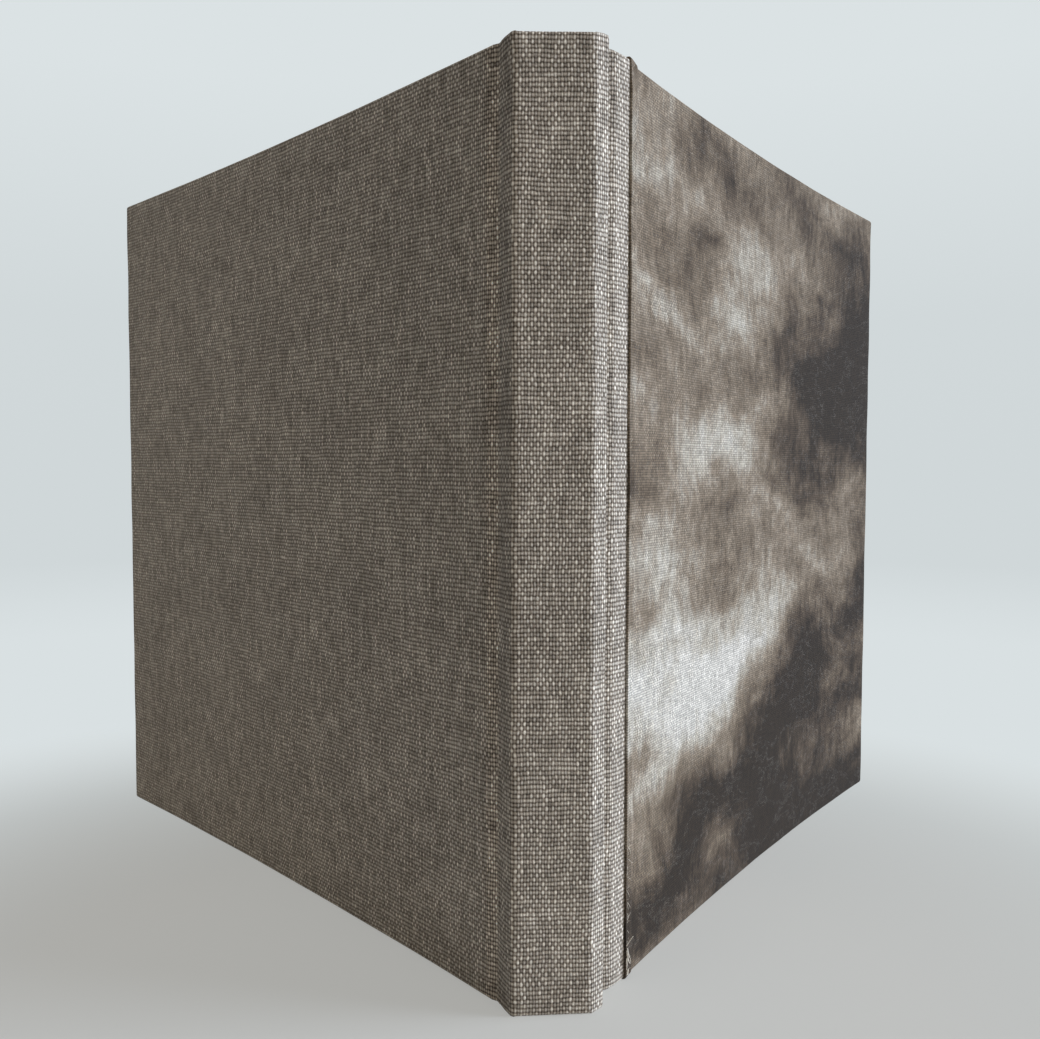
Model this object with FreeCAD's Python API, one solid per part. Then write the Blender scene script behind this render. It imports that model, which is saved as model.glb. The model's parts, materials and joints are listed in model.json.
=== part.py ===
"""A cloth-bound hardcover notebook, standing on its tail with both covers opened into a V.

Millimetres, +Z up. The spine's outer face looks along -Y, the fore-edges point to +Y, the front
cover is on the +X side. The origin is the middle of the spine's foot. A cover is drawn in its own
terms: s runs from its hinge to the fore-edge, depth runs from the board's outer face inwards.
"""
import FreeCAD, Part
import math
import os
from types import SimpleNamespace

V = FreeCAD.Vector

# the book as a whole
HEIGHT = 180.0              # head to tail of the covers
WIDTH = 175.0               # spine face to fore-edge, closed
BLOCK_THICK = 11.4          # the pages, pressed
SIGNATURES = 10             # folded and sewn sections in the block
SQUARE = 3.5                # how far the covers stand past the pages

# sheet and board thicknesses
BOARD = 2.0
SPINE_BOARD = 1.8
LINEN = 0.4
PRINT_CLOTH = 0.4
PAPER = 0.2
MULL = 0.2
LINING = 0.2

# spine
SPINE_EASE = 0.3            # the spine is this much wider than pages and covered boards
BACK_CORNER_R = 0.9         # outer radii of the spine's two corners
FRONT_CORNER_R = 2.0
HOLLOW = 0.3                # between the spine's turned-in cloth and the lined block
TURN_IN = 15.0              # cloth folded in over head, tail and fore-edges

# joint grooves
BACK_GROOVE = 6.15          # crease behind the spine's face, back cover
FRONT_GROOVE = 7.8          # the same, front cover
BACK_GROOVE_OUT = 1.95      # crease outside the spine's corner, back cover
FRONT_GROOVE_OUT = 0.8      # the same, front cover
WALL_BULGE = 0.15           # how far the groove's wall swells past its straight line
WALL_BEND_R = 5.0
CREASE_CLEAR = 1.0          # a cover's cloth starts this far from the crease line
RIDGE_S = 2.2               # crease to the board's covered corner, along the cover
BACK_RISE = 0.8             # and outwards, to the line of the board's outer face
FRONT_RISE = 1.35
RIDGE_R = 0.7

# the front board is bent in towards its joint
SHOULDER = 6.0              # length of the bend
SHOULDER_R = 33.0

# covers as they stand
BACK_OPEN = 37.9            # degrees from closed
FRONT_OPEN = 38.9
BACK_BOW = 1.5              # the boards are warped, hollow on the outside
FRONT_BOW = 2.4
EDGE_R = 0.6                # cloth-covered edges

# front cover's cloths
SEAM_S = 7.6                # crease to the printed cloth's raw edge
LAP = 3.0                   # the printed cloth lies on the linen this far

# inside the covers
MULL_FLAP = 25.0
PASTEDOWN_MARGIN = 3.0      # board cloth left showing round the pastedown
MULL_SHORT = 12.0           # the mull stops this far from the block's head and tail

# head and tail bands
BAND_R = 0.8
BAND_SKIRT = 8.0

SPINE_WIDTH = BLOCK_THICK + 2 * (BOARD + 2 * LINEN) + SPINE_EASE
SPINE_DEPTH = LINEN + SPINE_BOARD + LINEN
SPINE_FACE = -SPINE_DEPTH / 2
BLOCK_BACK = SPINE_FACE + SPINE_DEPTH + HOLLOW + LINING + MULL
BLOCK_FORE = SPINE_FACE + WIDTH - SQUARE
BLOCK_Z = (SQUARE, HEIGHT - SQUARE)


def rounded_path(points, radii):
    """An open wire through the points, each inner corner rounded by its radius."""
    edges, start = [], points[0]
    for before, corner, after, radius in zip(points, points[1:], points[2:], radii):
        to_before = (before - corner).normalize()
        to_after = (after - corner).normalize()
        half = to_before.getAngle(to_after) / 2
        run = radius / math.tan(half)
        bisector = (to_before + to_after).normalize()
        first, last = corner + to_before * run, corner + to_after * run
        crown = corner + bisector * (radius / math.sin(half) - radius)
        edges += [Part.LineSegment(start, first).toShape(), Part.Arc(first, crown, last).toShape()]
        start = last
    edges.append(Part.LineSegment(start, points[-1]).toShape())
    return Part.Wire(edges)


def cloth_band(path, thickness):
    """The face a cloth fills when the path runs through its middle; its cut ends are round."""
    return Part.Face(path.makeOffset2D(thickness / 2, 0, False, False))


def upright(face, low=0.0, high=HEIGHT):
    """A plan outline raised between two heights."""
    raised = face.copy()
    raised.translate(V(0, 0, low))
    return raised.extrude(V(0, 0, high - low))


def box(x, y, z):
    """A block between (low, high) pairs."""
    return Part.makeBox(x[1] - x[0], y[1] - y[0], z[1] - z[0], V(x[0], y[0], z[0]))


# --- spine ---------------------------------------------------------------------------------

def spine_corner(side):
    """Where the spine's face and its groove wall would meet, in the middle of the cloth."""
    return V(side * (SPINE_WIDTH / 2 - LINEN / 2), SPINE_FACE + LINEN / 2, 0)


def crease(side):
    """The line a cover turns about, in plan."""
    depth, out = (FRONT_GROOVE, FRONT_GROOVE_OUT) if side > 0 else (BACK_GROOVE, BACK_GROOVE_OUT)
    return V(side * (SPINE_WIDTH / 2 + out), SPINE_FACE + depth, 0)


def groove_wall(side):
    """Corner, swell and crease of the cloth that runs back from the spine."""
    corner, line = spine_corner(side), crease(side)
    along = (line - corner).normalize()
    outwards = V(side * along.y, -side * along.x, 0)
    return corner, (corner + line) * 0.5 + outwards * WALL_BULGE, line


def make_spine_linen():
    back_corner, back_swell, back_end = groove_wall(-1)
    front_corner, front_swell, front_end = groove_wall(1)
    points = [back_end, back_swell, back_corner, front_corner, front_swell, front_end]
    half = LINEN / 2
    radii = [WALL_BEND_R, BACK_CORNER_R - half, FRONT_CORNER_R - half, WALL_BEND_R]
    linen = upright(cloth_band(rounded_path(points, radii), LINEN))
    # the cloth folds over the spine board's ends and a little way down its inside
    closing = Part.LineSegment(front_end, back_end).toShape()
    outline = Part.Face(Part.Wire([*rounded_path(points, radii).Edges, closing]))
    back, inside = SPINE_FACE + SPINE_DEPTH - LINEN, SPINE_FACE + SPINE_DEPTH
    for low, high, fold in ((0, TURN_IN, 0), (HEIGHT - TURN_IN, HEIGHT, HEIGHT - LINEN)):
        sides = (-SPINE_WIDTH, SPINE_WIDTH)
        folded = box(sides, (back, inside), (low, high))
        over = box(sides, (SPINE_FACE, inside), (fold, fold + LINEN))
        linen = linen.fuse(upright(outline, low, high).common(folded.fuse(over)))
    return linen.removeSplitter()


def make_spine_board():
    half = SPINE_WIDTH / 2 - 2 * LINEN
    front = SPINE_FACE + LINEN
    board = box((-half, half), (front, front + SPINE_BOARD), (LINEN, HEIGHT - LINEN))
    for x, radius in ((-half, BACK_CORNER_R - LINEN), (half, FRONT_CORNER_R - LINEN)):
        corner = [e for e in board.Edges
                  if abs(e.CenterOfMass.x - x) < 1e-6 and abs(e.CenterOfMass.y - front) < 1e-6
                  and e.Length > HEIGHT / 2]
        board = board.makeFillet(min(radius, 0.9 * SPINE_BOARD), corner)
    return board


# --- text block ----------------------------------------------------------------------------

def make_text_block():
    """The pages as one block; each folded section shows its round fold at the spine."""
    fold = BLOCK_THICK / SIGNATURES / 2
    left, shoulder = -BLOCK_THICK / 2, BLOCK_BACK + fold
    edges = []
    for index in range(SIGNATURES):
        start = left + 2 * fold * index
        edges.append(Part.Arc(V(start, shoulder, 0), V(start + fold, BLOCK_BACK, 0),
                              V(start + 2 * fold, shoulder, 0)).toShape())
    corners = [V(-left, shoulder, 0), V(-left, BLOCK_FORE, 0), V(left, BLOCK_FORE, 0),
               V(left, shoulder, 0)]
    edges += [Part.LineSegment(a, b).toShape() for a, b in zip(corners, corners[1:])]
    return upright(Part.Face(Part.Wire(edges)), *BLOCK_Z)


def make_flyleaf(side):
    near = side * BLOCK_THICK / 2
    fold = BLOCK_THICK / SIGNATURES / 2
    return box(sorted((near, near + side * PAPER)), (BLOCK_BACK + fold, BLOCK_FORE), BLOCK_Z)


def spine_strip(back, thickness, low, high):
    """A strip glued down the block's spine, its inner face at back."""
    half = BLOCK_THICK / 2
    return box((-half, half), (back - thickness, back), (low, high))


def make_band(head):
    """A rolled cloth bead on the block's edge, with the skirt that is glued to its spine."""
    half = BLOCK_THICK / 2
    edge, up = (BLOCK_Z[1], 1) if head else (BLOCK_Z[0], -1)
    middle = edge + up * BAND_R
    bead = Part.makeCylinder(BAND_R, BLOCK_THICK, V(-half, BLOCK_BACK - MULL + BAND_R, middle),
                             V(1, 0, 0))
    skirt = spine_strip(BLOCK_BACK, MULL, *sorted((middle, edge - up * BAND_SKIRT)))
    return bead.fuse(skirt).removeSplitter()


# --- covers --------------------------------------------------------------------------------

def cover(side):
    """What a cover's pieces share: where it turns, how far it is open and how it is warped."""
    line = crease(side)
    opened, bow = (FRONT_OPEN, FRONT_BOW) if side > 0 else (BACK_OPEN, BACK_BOW)
    cloth = PRINT_CLOTH if side > 0 else LINEN
    end = WIDTH + SPINE_FACE - line.y - cloth
    chord = end - RIDGE_S
    return SimpleNamespace(side=side, line=line, angle=math.radians(opened), bow=bow, cloth=cloth,
                           end=end, middle=RIDGE_S + chord / 2, radius=chord ** 2 / (8 * bow),
                           rise=FRONT_RISE if side > 0 else BACK_RISE,
                           bend_end=RIDGE_S + SHOULDER if side > 0 else RIDGE_S)


def in_plan(c, s, out):
    """The plan point at s along the closed cover's chord and out from its hinge."""
    along = V(c.side * math.sin(c.angle), math.cos(c.angle), 0)
    outwards = V(c.side * math.cos(c.angle), -math.sin(c.angle), 0)
    return c.line + along * s + outwards * out


def on_board(c, s, depth):
    """The plan point at s, this deep below the warped board's outer face."""
    turn = (max(s, c.bend_end) - c.middle) / c.radius
    reach = c.radius + depth
    along = c.middle + reach * math.sin(turn)
    out = c.rise - LINEN - c.bow + c.radius - reach * math.cos(turn)
    if s < c.bend_end:
        bent = turn + (c.bend_end - s) / SHOULDER_R
        reach = SHOULDER_R - depth
        along += reach * (math.sin(turn) - math.sin(bent))
        out += reach * (math.cos(bent) - math.cos(turn))
    return in_plan(c, along, out)


def layer(c, s, depth, z):
    """A warped slab between (low, high) pairs of s, depth and height."""
    def arcs(level, a, b):
        stops = [a, c.bend_end, b] if min(s) < c.bend_end < max(s) else [a, b]
        return [Part.Arc(*(on_board(c, at, level) for at in (p, (p + q) / 2, q))).toShape()
                for p, q in zip(stops, stops[1:])]

    def end(at, a, b):
        return Part.LineSegment(on_board(c, at, a), on_board(c, at, b)).toShape()

    outline = [*arcs(depth[0], *s), end(s[1], *depth), *arcs(depth[1], s[1], s[0]),
               end(s[0], depth[1], depth[0])]
    return upright(Part.Face(Part.Wire(outline)), *z)


def make_board(c):
    return layer(c, (RIDGE_S, c.end), (0, BOARD), (LINEN, HEIGHT - LINEN))


def wrapped(c, s, cloth, fore_edge):
    """Cloth over the board's outside, folded in round its head and tail, and round its
    fore-edge where it reaches that."""
    z = (LINEN - cloth, HEIGHT - LINEN + cloth)
    stop = s[1] + cloth if fore_edge else s[1]
    skin = layer(c, (s[0], stop), (-cloth, BOARD + cloth), z)
    rounds = [e for e in skin.Edges if follows_edge(c, e, stop, z, fore_edge)]
    skin = skin.makeFillet(EDGE_R, rounds)
    window_end = s[1] - TURN_IN if fore_edge else s[1] + 1
    window = layer(c, (s[0] - 1, window_end), (BOARD, BOARD + 2 * cloth),
                   (LINEN + TURN_IN, HEIGHT - LINEN - TURN_IN))
    return skin.cut(make_board(c)).cut(window)


def follows_edge(c, edge, stop, z, fore_edge):
    """True for the long edges round head and tail, and for the fore-edge's two uprights."""
    at = edge.CenterOfMass
    if min(abs(at.z - z[0]), abs(at.z - z[1])) < 1e-6:
        ends = [v.Point for v in edge.Vertexes]
        return (ends[0] - ends[1]).Length > BOARD + 2 * c.cloth + 0.5 or (
            fore_edge and reaches(c, ends, stop))
    return fore_edge and reaches(c, [at], stop)


def reaches(c, points, stop):
    """True where all the points lie on the plane that closes a layer at stop."""
    foot = on_board(c, stop, 0)
    normal = (on_board(c, stop + 0.01, 0) - foot).normalize()
    return all(abs((V(p.x, p.y, 0) - foot).dot(normal)) < 1e-3 for p in points)


def joint_cloth(c):
    """Linen from just past the crease up to the board's covered corner. It starts far enough
    from the crease to swing past the spine's own cloth, which ends on it."""
    ridge = on_board(c, RIDGE_S, -LINEN / 2)
    start = c.line + (ridge - c.line).normalize() * CREASE_CLEAR
    path = rounded_path([start, ridge, on_board(c, RIDGE_S + 3 * RIDGE_R, -LINEN / 2)], [RIDGE_R])
    return upright(cloth_band(path, LINEN))


def make_back_linen(c):
    skin = wrapped(c, (RIDGE_S, c.end), LINEN, True)
    return skin.fuse(joint_cloth(c)).cut(make_board(c)).removeSplitter()


def lapped_linen(c):
    """The linen strip's edge under the printed cloth, trimmed to the board's head and tail."""
    return layer(c, (SEAM_S, SEAM_S + LAP), (-LINEN, 0), (LINEN, HEIGHT - LINEN))


def make_linen_strip(c):
    strip = wrapped(c, (RIDGE_S, SEAM_S), LINEN, False)
    return strip.fuse([joint_cloth(c), lapped_linen(c)]).cut(make_board(c)).removeSplitter()


def make_printed_cloth(c):
    """It lies on the linen's edge, and steps down to the board just past it."""
    cloth = wrapped(c, (SEAM_S, c.end), PRINT_CLOTH, True).cut(lapped_linen(c))
    edge, top = SEAM_S + LAP, -LINEN - PRINT_CLOTH
    raised = layer(c, (SEAM_S, edge + PRINT_CLOTH), (top, -LINEN), (0, HEIGHT))
    step = layer(c, (edge, edge + PRINT_CLOTH), (top, 0), (EDGE_R, HEIGHT - EDGE_R))
    return cloth.fuse([raised, step]).removeSplitter()


def flap_heights():
    return BLOCK_Z[0] + MULL_SHORT, BLOCK_Z[1] - MULL_SHORT


def make_mull_flap(c):
    """The mull's free edge, glued to the board's inside between the turned-in cloths."""
    low, high = flap_heights()
    low, high = max(low, LINEN + TURN_IN), min(high, HEIGHT - LINEN - TURN_IN)
    return layer(c, (RIDGE_S, RIDGE_S + MULL_FLAP), (BOARD, BOARD + MULL), (low, high))


def make_pastedown(c):
    """The endpaper's glued half. It steps down inside the frame of turned-in cloth."""
    level = max(c.cloth, LINEN)
    window_z = (LINEN + TURN_IN, HEIGHT - LINEN - TURN_IN)
    window_end = c.end - TURN_IN
    flap_end = RIDGE_S + MULL_FLAP
    z = (PASTEDOWN_MARGIN + LINEN, HEIGHT - LINEN - PASTEDOWN_MARGIN)
    sheet = layer(c, (RIDGE_S, c.end - PASTEDOWN_MARGIN), (BOARD, BOARD + level + PAPER), z)
    frame = layer(c, (0, c.end), (0, BOARD + level), (0, HEIGHT)).cut(
        layer(c, (flap_end, window_end), (0, BOARD + 2 * level), window_z))
    step = layer(c, (flap_end + PAPER, window_end - PAPER), (BOARD + PAPER, BOARD + 3 * level),
                 (window_z[0] + PAPER, window_z[1] - PAPER))
    return sheet.cut(frame).cut(step)


def all_parts():
    front, back = cover(1), cover(-1)
    low, high = flap_heights()
    return {
        "text_block": make_text_block(),
        "front_flyleaf": make_flyleaf(1),
        "back_flyleaf": make_flyleaf(-1),
        "spine_mull": spine_strip(BLOCK_BACK, MULL, low, high),
        "spine_lining": spine_strip(BLOCK_BACK - MULL, LINING, *BLOCK_Z),
        "headband": make_band(True),
        "tailband": make_band(False),
        "spine_board": make_spine_board(),
        "spine_linen": make_spine_linen(),
        "front_board": make_board(front),
        "front_linen_strip": make_linen_strip(front),
        "front_printed_cloth": make_printed_cloth(front),
        "front_mull_flap": make_mull_flap(front),
        "front_pastedown": make_pastedown(front),
        "back_board": make_board(back),
        "back_linen": make_back_linen(back),
        "back_mull_flap": make_mull_flap(back),
        "back_pastedown": make_pastedown(back),
    }


os.makedirs("parts", exist_ok=True)
for name, shape in all_parts().items():
    shape.exportStep(f"parts/{name}.step")
    print(name, len(shape.Solids), "solid", round(shape.Volume, 1), "mm3", shape.isValid())
for name, side in (("front", 1), ("back", -1)):
    hinge = crease(side)
    print(f"{name} hinge at x {hinge.x:.3f}, y {hinge.y:.3f}")
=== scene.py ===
"""A cloth-bound hardcover notebook standing on its tail with both covers opened into a V.

The cover boards and the page block come from the frame. The spine board, the cloths, the hinge
papers and the head and tail bands are made here. A cloth is first laid flat, x running along it
from its hinge, y into the book and z up, and is then bent round the spine or over its board.
Metres, in the frame's axes.
"""
import json
import math
import random
from bisect import bisect_right

import bmesh
import bpy
from mathutils import Matrix, Vector


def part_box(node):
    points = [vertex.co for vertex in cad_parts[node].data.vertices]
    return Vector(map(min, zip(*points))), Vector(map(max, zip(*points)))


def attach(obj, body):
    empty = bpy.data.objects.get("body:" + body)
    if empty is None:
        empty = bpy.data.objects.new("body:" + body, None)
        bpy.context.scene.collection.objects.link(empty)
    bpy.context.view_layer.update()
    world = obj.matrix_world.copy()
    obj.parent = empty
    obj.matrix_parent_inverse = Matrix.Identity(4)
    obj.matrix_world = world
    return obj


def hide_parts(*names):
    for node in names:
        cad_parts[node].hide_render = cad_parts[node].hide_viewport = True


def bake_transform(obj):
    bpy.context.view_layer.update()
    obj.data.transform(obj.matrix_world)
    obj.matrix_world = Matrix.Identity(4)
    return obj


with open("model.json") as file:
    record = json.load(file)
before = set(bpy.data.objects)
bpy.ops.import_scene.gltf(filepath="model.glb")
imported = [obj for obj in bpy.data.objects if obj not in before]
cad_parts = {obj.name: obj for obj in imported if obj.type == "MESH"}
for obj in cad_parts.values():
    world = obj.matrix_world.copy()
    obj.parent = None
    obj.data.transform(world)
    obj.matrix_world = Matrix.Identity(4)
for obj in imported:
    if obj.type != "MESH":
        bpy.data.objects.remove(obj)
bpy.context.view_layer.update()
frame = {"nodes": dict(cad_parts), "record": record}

MM = 0.001

# cloth and board, as they are bound
LINEN = 0.4 * MM
BOARD = 2.0 * MM
PAPER = 0.2 * MM
MULL = 0.2 * MM
TURN_IN = 15 * MM           # cloth folded in over head, tail and fore-edges
EDGE_R = 0.75 * MM          # the fold over a board's edge

# spine and grooves
BACK_CORNER_R = 1.1 * MM    # the cloth's middle line round the spine's left corner
PARED_ACROSS = 2.1 * MM     # its right edge is pared flat, this far across and this far in
PARED_IN = 2.35 * MM
PARED_R = 0.5 * MM
PARED_BOARD = 1.7 * MM
WALL_BULGE = 0.15 * MM      # the groove's wall swells past its straight line
WALL_BEND_R = 5.0 * MM
WALL_FOOT = 1.2 * MM        # the covers' cloth takes over this far from the crease
CREASE_R = 0.5 * MM
RIDGE_S = 2.2 * MM          # crease to the board's covered corner, along the cover
BACK_RISE = 0.8 * MM        # and outwards, to the line of the board's outer face
FRONT_RISE = 1.35 * MM
RIDGE_R = 0.7 * MM
FRONT_SUNK = (0.6 * MM, -0.5 * MM)  # the front joint is pressed in past its hinge line
SHOULDER = 6.0 * MM         # the front board is bent in towards its joint
SHOULDER_R = 33 * MM

# covers as they stand: degrees open, and how far the warped boards are hollow outside
FRONT_OPEN, FRONT_BOW = 38.9, 2.4 * MM
BACK_OPEN, BACK_BOW = 37.9, 1.5 * MM
SEAM_S = 7.6 * MM           # crease to the printed cloth's raw edge
LAP = 3.0 * MM              # the printed cloth lies on the linen this far
RAW_LIFT = 0.17 * MM        # its cut edge stands off the linen and reaches over it a little more
RAW_OVER = 0.3 * MM
HEAD_RISE = 0.65 * MM       # how far the linen stands off the boards at its head, by the joint

# inside the covers
MULL_FLAP = 25 * MM
MULL_SHORT = 12 * MM        # the mull stops this far from the block's head and tail
PAPER_MARGIN = 3 * MM       # board cloth left showing round the endpaper
BEAD_R = 0.8 * MM           # head and tail bands: a wound bead on a strip of cloth
BEAD_WINDS = 27
BAND_CLOTH = 8.8 * MM
BAND_PROUD = 0.8 * MM       # the strip of cloth reaches this far past the block's edge

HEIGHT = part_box("back_linen")[1].z
BOARD_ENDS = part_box("spine_board")
SPINE_FACE = BOARD_ENDS[0].y - LINEN
SPINE_DEPTH = BOARD_ENDS[1].y - BOARD_ENDS[0].y + 2 * LINEN
SPINE_HALF = BOARD_ENDS[1].x + 2 * LINEN
WIDTH = 175 * MM            # spine face to fore-edge, closed
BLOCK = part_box("text_block")
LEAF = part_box("front_flyleaf")[1]
HINGES = {joint["child"]: Vector(joint["pos_m"])
          for joint in frame["record"]["behaviour"]["joints"]}


# --- tools ---------------------------------------------------------------------------------

def linear(code):
    """A linear colour from an sRGB hex code."""
    parts = [int(code[i:i + 2], 16) / 255 for i in (1, 3, 5)]
    return [p / 12.92 if p <= 0.04045 else ((p + 0.055) / 1.055) ** 2.4 for p in parts] + [1.0]


def add(tree, kind, inputs=None, **settings):
    """One node with its settings, and its inputs filled or linked."""
    made = tree.nodes.new("ShaderNode" + kind)
    for name, value in settings.items():
        setattr(made, name, value)
    for socket, value in (inputs or {}).items():
        if isinstance(value, bpy.types.NodeSocket):
            tree.links.new(value, made.inputs[socket])
        else:
            made.inputs[socket].default_value = value
    return made


def pick(kind, test):
    """Selects, in edit mode, the verts, edges or faces that pass the test."""
    bpy.ops.mesh.select_mode(type={"verts": "VERT", "edges": "EDGE", "faces": "FACE"}[kind])
    bpy.ops.mesh.select_all(action="DESELECT")
    mesh = bmesh.from_edit_mesh(bpy.context.object.data)
    for item in getattr(mesh, kind):
        if test(item):
            item.select_set(True)
    mesh.select_flush_mode()
    bmesh.update_edit_mesh(bpy.context.object.data)


def middle(item):
    """The middle of an edge or a face in edit mode."""
    return sum((v.co for v in item.verts), Vector()) / len(item.verts)


def begin(name, low, high):
    """A cube primitive between two corners, in edit mode."""
    bpy.ops.object.select_all(action="DESELECT")
    size = [b - a for a, b in zip(low, high)]
    centre = [(a + b) / 2 for a, b in zip(low, high)]
    bpy.ops.mesh.primitive_cube_add(size=1, location=centre, scale=size)
    bpy.ops.object.transform_apply(location=True, rotation=False, scale=True)
    piece = bpy.context.object
    piece.name = piece.data.name = name
    bpy.ops.object.mode_set(mode="EDIT")
    return piece


def divide(axis, cuts):
    """Cuts all long edges that run along an axis into equal lengths."""
    mesh = bmesh.from_edit_mesh(bpy.context.object.data)
    reach = max(abs(e.verts[0].co[axis] - e.verts[1].co[axis]) for e in mesh.edges)
    pick("edges", lambda e: abs(e.verts[0].co[axis] - e.verts[1].co[axis]) > 0.9 * reach)
    bpy.ops.mesh.subdivide(number_cuts=cuts)


def cut_across(axis, at):
    """One cut right round the piece, square to an axis."""
    place, normal = Vector(), Vector()
    place[axis], normal[axis] = at, 1
    bpy.ops.mesh.select_all(action="SELECT")
    bpy.ops.mesh.bisect(plane_co=place, plane_no=normal)


def ease(low, high, at):
    """0 below low, 1 above high and smooth between."""
    share = min(max((at - low) / (high - low), 0), 1)
    return share * share * (3 - 2 * share)


def apply_modifier(piece, kind, **settings):
    modifier = piece.modifiers.new(kind.title(), kind)
    for name, value in settings.items():
        setattr(modifier, name, value)
    bpy.ops.object.modifier_apply(modifier=modifier.name)


# --- lines in plan -------------------------------------------------------------------------

def rounded(points, radii, steps=6):
    """Plan points with each inner corner turned into an arc of its radius."""
    line = [points[0]]
    for before, corner, after, radius in zip(points, points[1:], points[2:], radii):
        back, ahead = (before - corner).normalized(), (after - corner).normalized()
        half = back.angle(ahead) / 2
        centre = corner + (back + ahead).normalized() * (radius / math.sin(half))
        first = corner + back * (radius / math.tan(half)) - centre
        last = corner + ahead * (radius / math.tan(half)) - centre
        sweep = first.angle(last)
        for step in range(steps + 1):
            share = step / steps
            line.append(centre + (first * math.sin(sweep * (1 - share))
                                  + last * math.sin(sweep * share)) / math.sin(sweep))
    return line + [points[-1]]


class Line:
    """A cloth's middle line in plan. inward is 1 where the book lies to its left."""

    def __init__(self, points, inward):
        self.points = [Vector((p.x, p.y)) for p in points]
        self.inward = inward
        self.run = [0.0]
        for a, b in zip(self.points, self.points[1:]):
            self.run.append(self.run[-1] + (b - a).length)
        ahead = [(b - a).normalized() for a, b in zip(self.points, self.points[1:])]
        between = [(a + b).normalized() for a, b in zip(ahead, ahead[1:])]
        self.ways = [ahead[0], *between, ahead[-1]]

    def at(self, along, depth):
        """The plan point this far along the line and this far in from it."""
        i = min(max(bisect_right(self.run, along) - 1, 0), len(self.points) - 2)
        share = (along - self.run[i]) / (self.run[i + 1] - self.run[i])
        point = self.points[i].lerp(self.points[i + 1], share)
        way = self.ways[i].lerp(self.ways[i + 1], min(max(share, 0), 1)).normalized()
        return point + Vector((-way.y, way.x)) * self.inward * depth


class Cover:
    """A cover as it stands: where it turns, how far it is open, how its board is warped and bent
    in at its joint, and how far the cloth is pressed in past its hinge line there."""

    def __init__(self, body, side, opened, bow, rise, shoulder, sunk):
        self.body, self.side, self.rise = body, side, rise
        self.bend_end = RIDGE_S + shoulder
        self.crease = HINGES[body].to_2d()
        self.angle = math.radians(opened)
        self.end = WIDTH + SPINE_FACE - self.crease.y - LINEN
        self.middle = (RIDGE_S + self.end) / 2
        self.bow, self.radius = bow, (self.end - RIDGE_S) ** 2 / (8 * bow)
        self.foot = self.crease + (swell(side) - self.crease).normalized() * WALL_FOOT
        board = self.along_board(RIDGE_S, self.end, -LINEN / 2)
        start = rounded([self.foot, self.in_plan(*sunk), board[0], board[1]], [CREASE_R, RIDGE_R])
        self.line = Line(start + board[2:], side)
        self.ridge = self.line.run[-1] - (self.end - RIDGE_S)

    def in_plan(self, s, out):
        """The plan point at s along the cover's chord and out from its hinge."""
        along = Vector((self.side * math.sin(self.angle), math.cos(self.angle)))
        outwards = Vector((self.side * math.cos(self.angle), -math.sin(self.angle)))
        return self.crease + along * s + outwards * out

    def on_board(self, s, depth):
        """The plan point at s, this deep below the warped board's outer face."""
        turn = (max(s, self.bend_end) - self.middle) / self.radius
        reach = self.radius + depth
        along = self.middle + reach * math.sin(turn)
        out = self.rise - LINEN - self.bow + self.radius - reach * math.cos(turn)
        if s < self.bend_end:
            bent = turn + (self.bend_end - s) / SHOULDER_R
            reach = SHOULDER_R - depth
            along += reach * (math.sin(turn) - math.sin(bent))
            out += reach * (math.cos(bent) - math.cos(turn))
        return self.in_plan(along, out)

    def along_board(self, first, last, depth):
        """Plan points from one place on the board to another, close together on its bend."""
        stops = [first + (self.bend_end - first) * i / 6 for i in range(6)]
        stops = stops if first < self.bend_end else []
        begin_at = max(first, self.bend_end)
        stops += [begin_at + (last - begin_at) * i / 24 for i in range(25)]
        return [self.on_board(s, depth) for s in stops]

    def run_to(self, s):
        """Length along the cloth's line of the place at s."""
        return self.ridge + s - RIDGE_S


def spine_corner(side):
    """Where the spine's face and its groove wall would meet, in the middle of the cloth."""
    return Vector((side * (SPINE_HALF - LINEN / 2), SPINE_FACE + LINEN / 2))


def swell(side):
    """The middle of a groove's wall, where it stands out most."""
    corner = spine_corner(side)
    crease = HINGES["front_cover" if side > 0 else "back_cover"].to_2d()
    along = (crease - corner).normalized()
    return (corner + crease) / 2 + Vector((side * along.y, -side * along.x)) * WALL_BULGE


SPINE_RUN = 2 * SPINE_HALF + sum((spine_corner(side) - swell(side)).length * 2 for side in (-1, 1))

FRONT = Cover("front_cover", 1, FRONT_OPEN, FRONT_BOW, FRONT_RISE, SHOULDER, FRONT_SUNK)
BACK = Cover("back_cover", -1, BACK_OPEN, BACK_BOW, BACK_RISE, 0, (0, 0))


# --- cloths --------------------------------------------------------------------------------

def map_cloth(piece, thick, length):
    """Gives a flat cloth its own map in millimetres: along the threads one way, and up the book
    and on over its folds the other way."""
    chart = piece.data.uv_layers[0] if piece.data.uv_layers else piece.data.uv_layers.new()
    chart.name = "cloth"
    for face in piece.data.polygons:
        n = face.normal
        for index in face.loop_indices:
            x, y, z = piece.data.vertices[piece.data.loops[index].vertex_index].co
            if abs(n.z) > 0.7:
                u, v = x, HEIGHT + y if n.z > 0 else -y
            elif abs(n.x) > 0.7:
                u, v = length + y if n.x > 0 else -y, z
            elif face.center.y > thick / 2 and n.y > 0:
                u, v = x, 2 * HEIGHT + thick - z if z > HEIGHT / 2 else -thick - z
            else:
                u, v = x, z
            chart.data[index].uv = (u / MM, v / MM)


def mark(piece, name, amount):
    """Gives each point of a flat cloth a value, worked out from its place."""
    values = piece.data.attributes.new(name, "FLOAT", "POINT")
    for vertex, value in zip(piece.data.vertices, values.data):
        value.value = amount(vertex.co)


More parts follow.
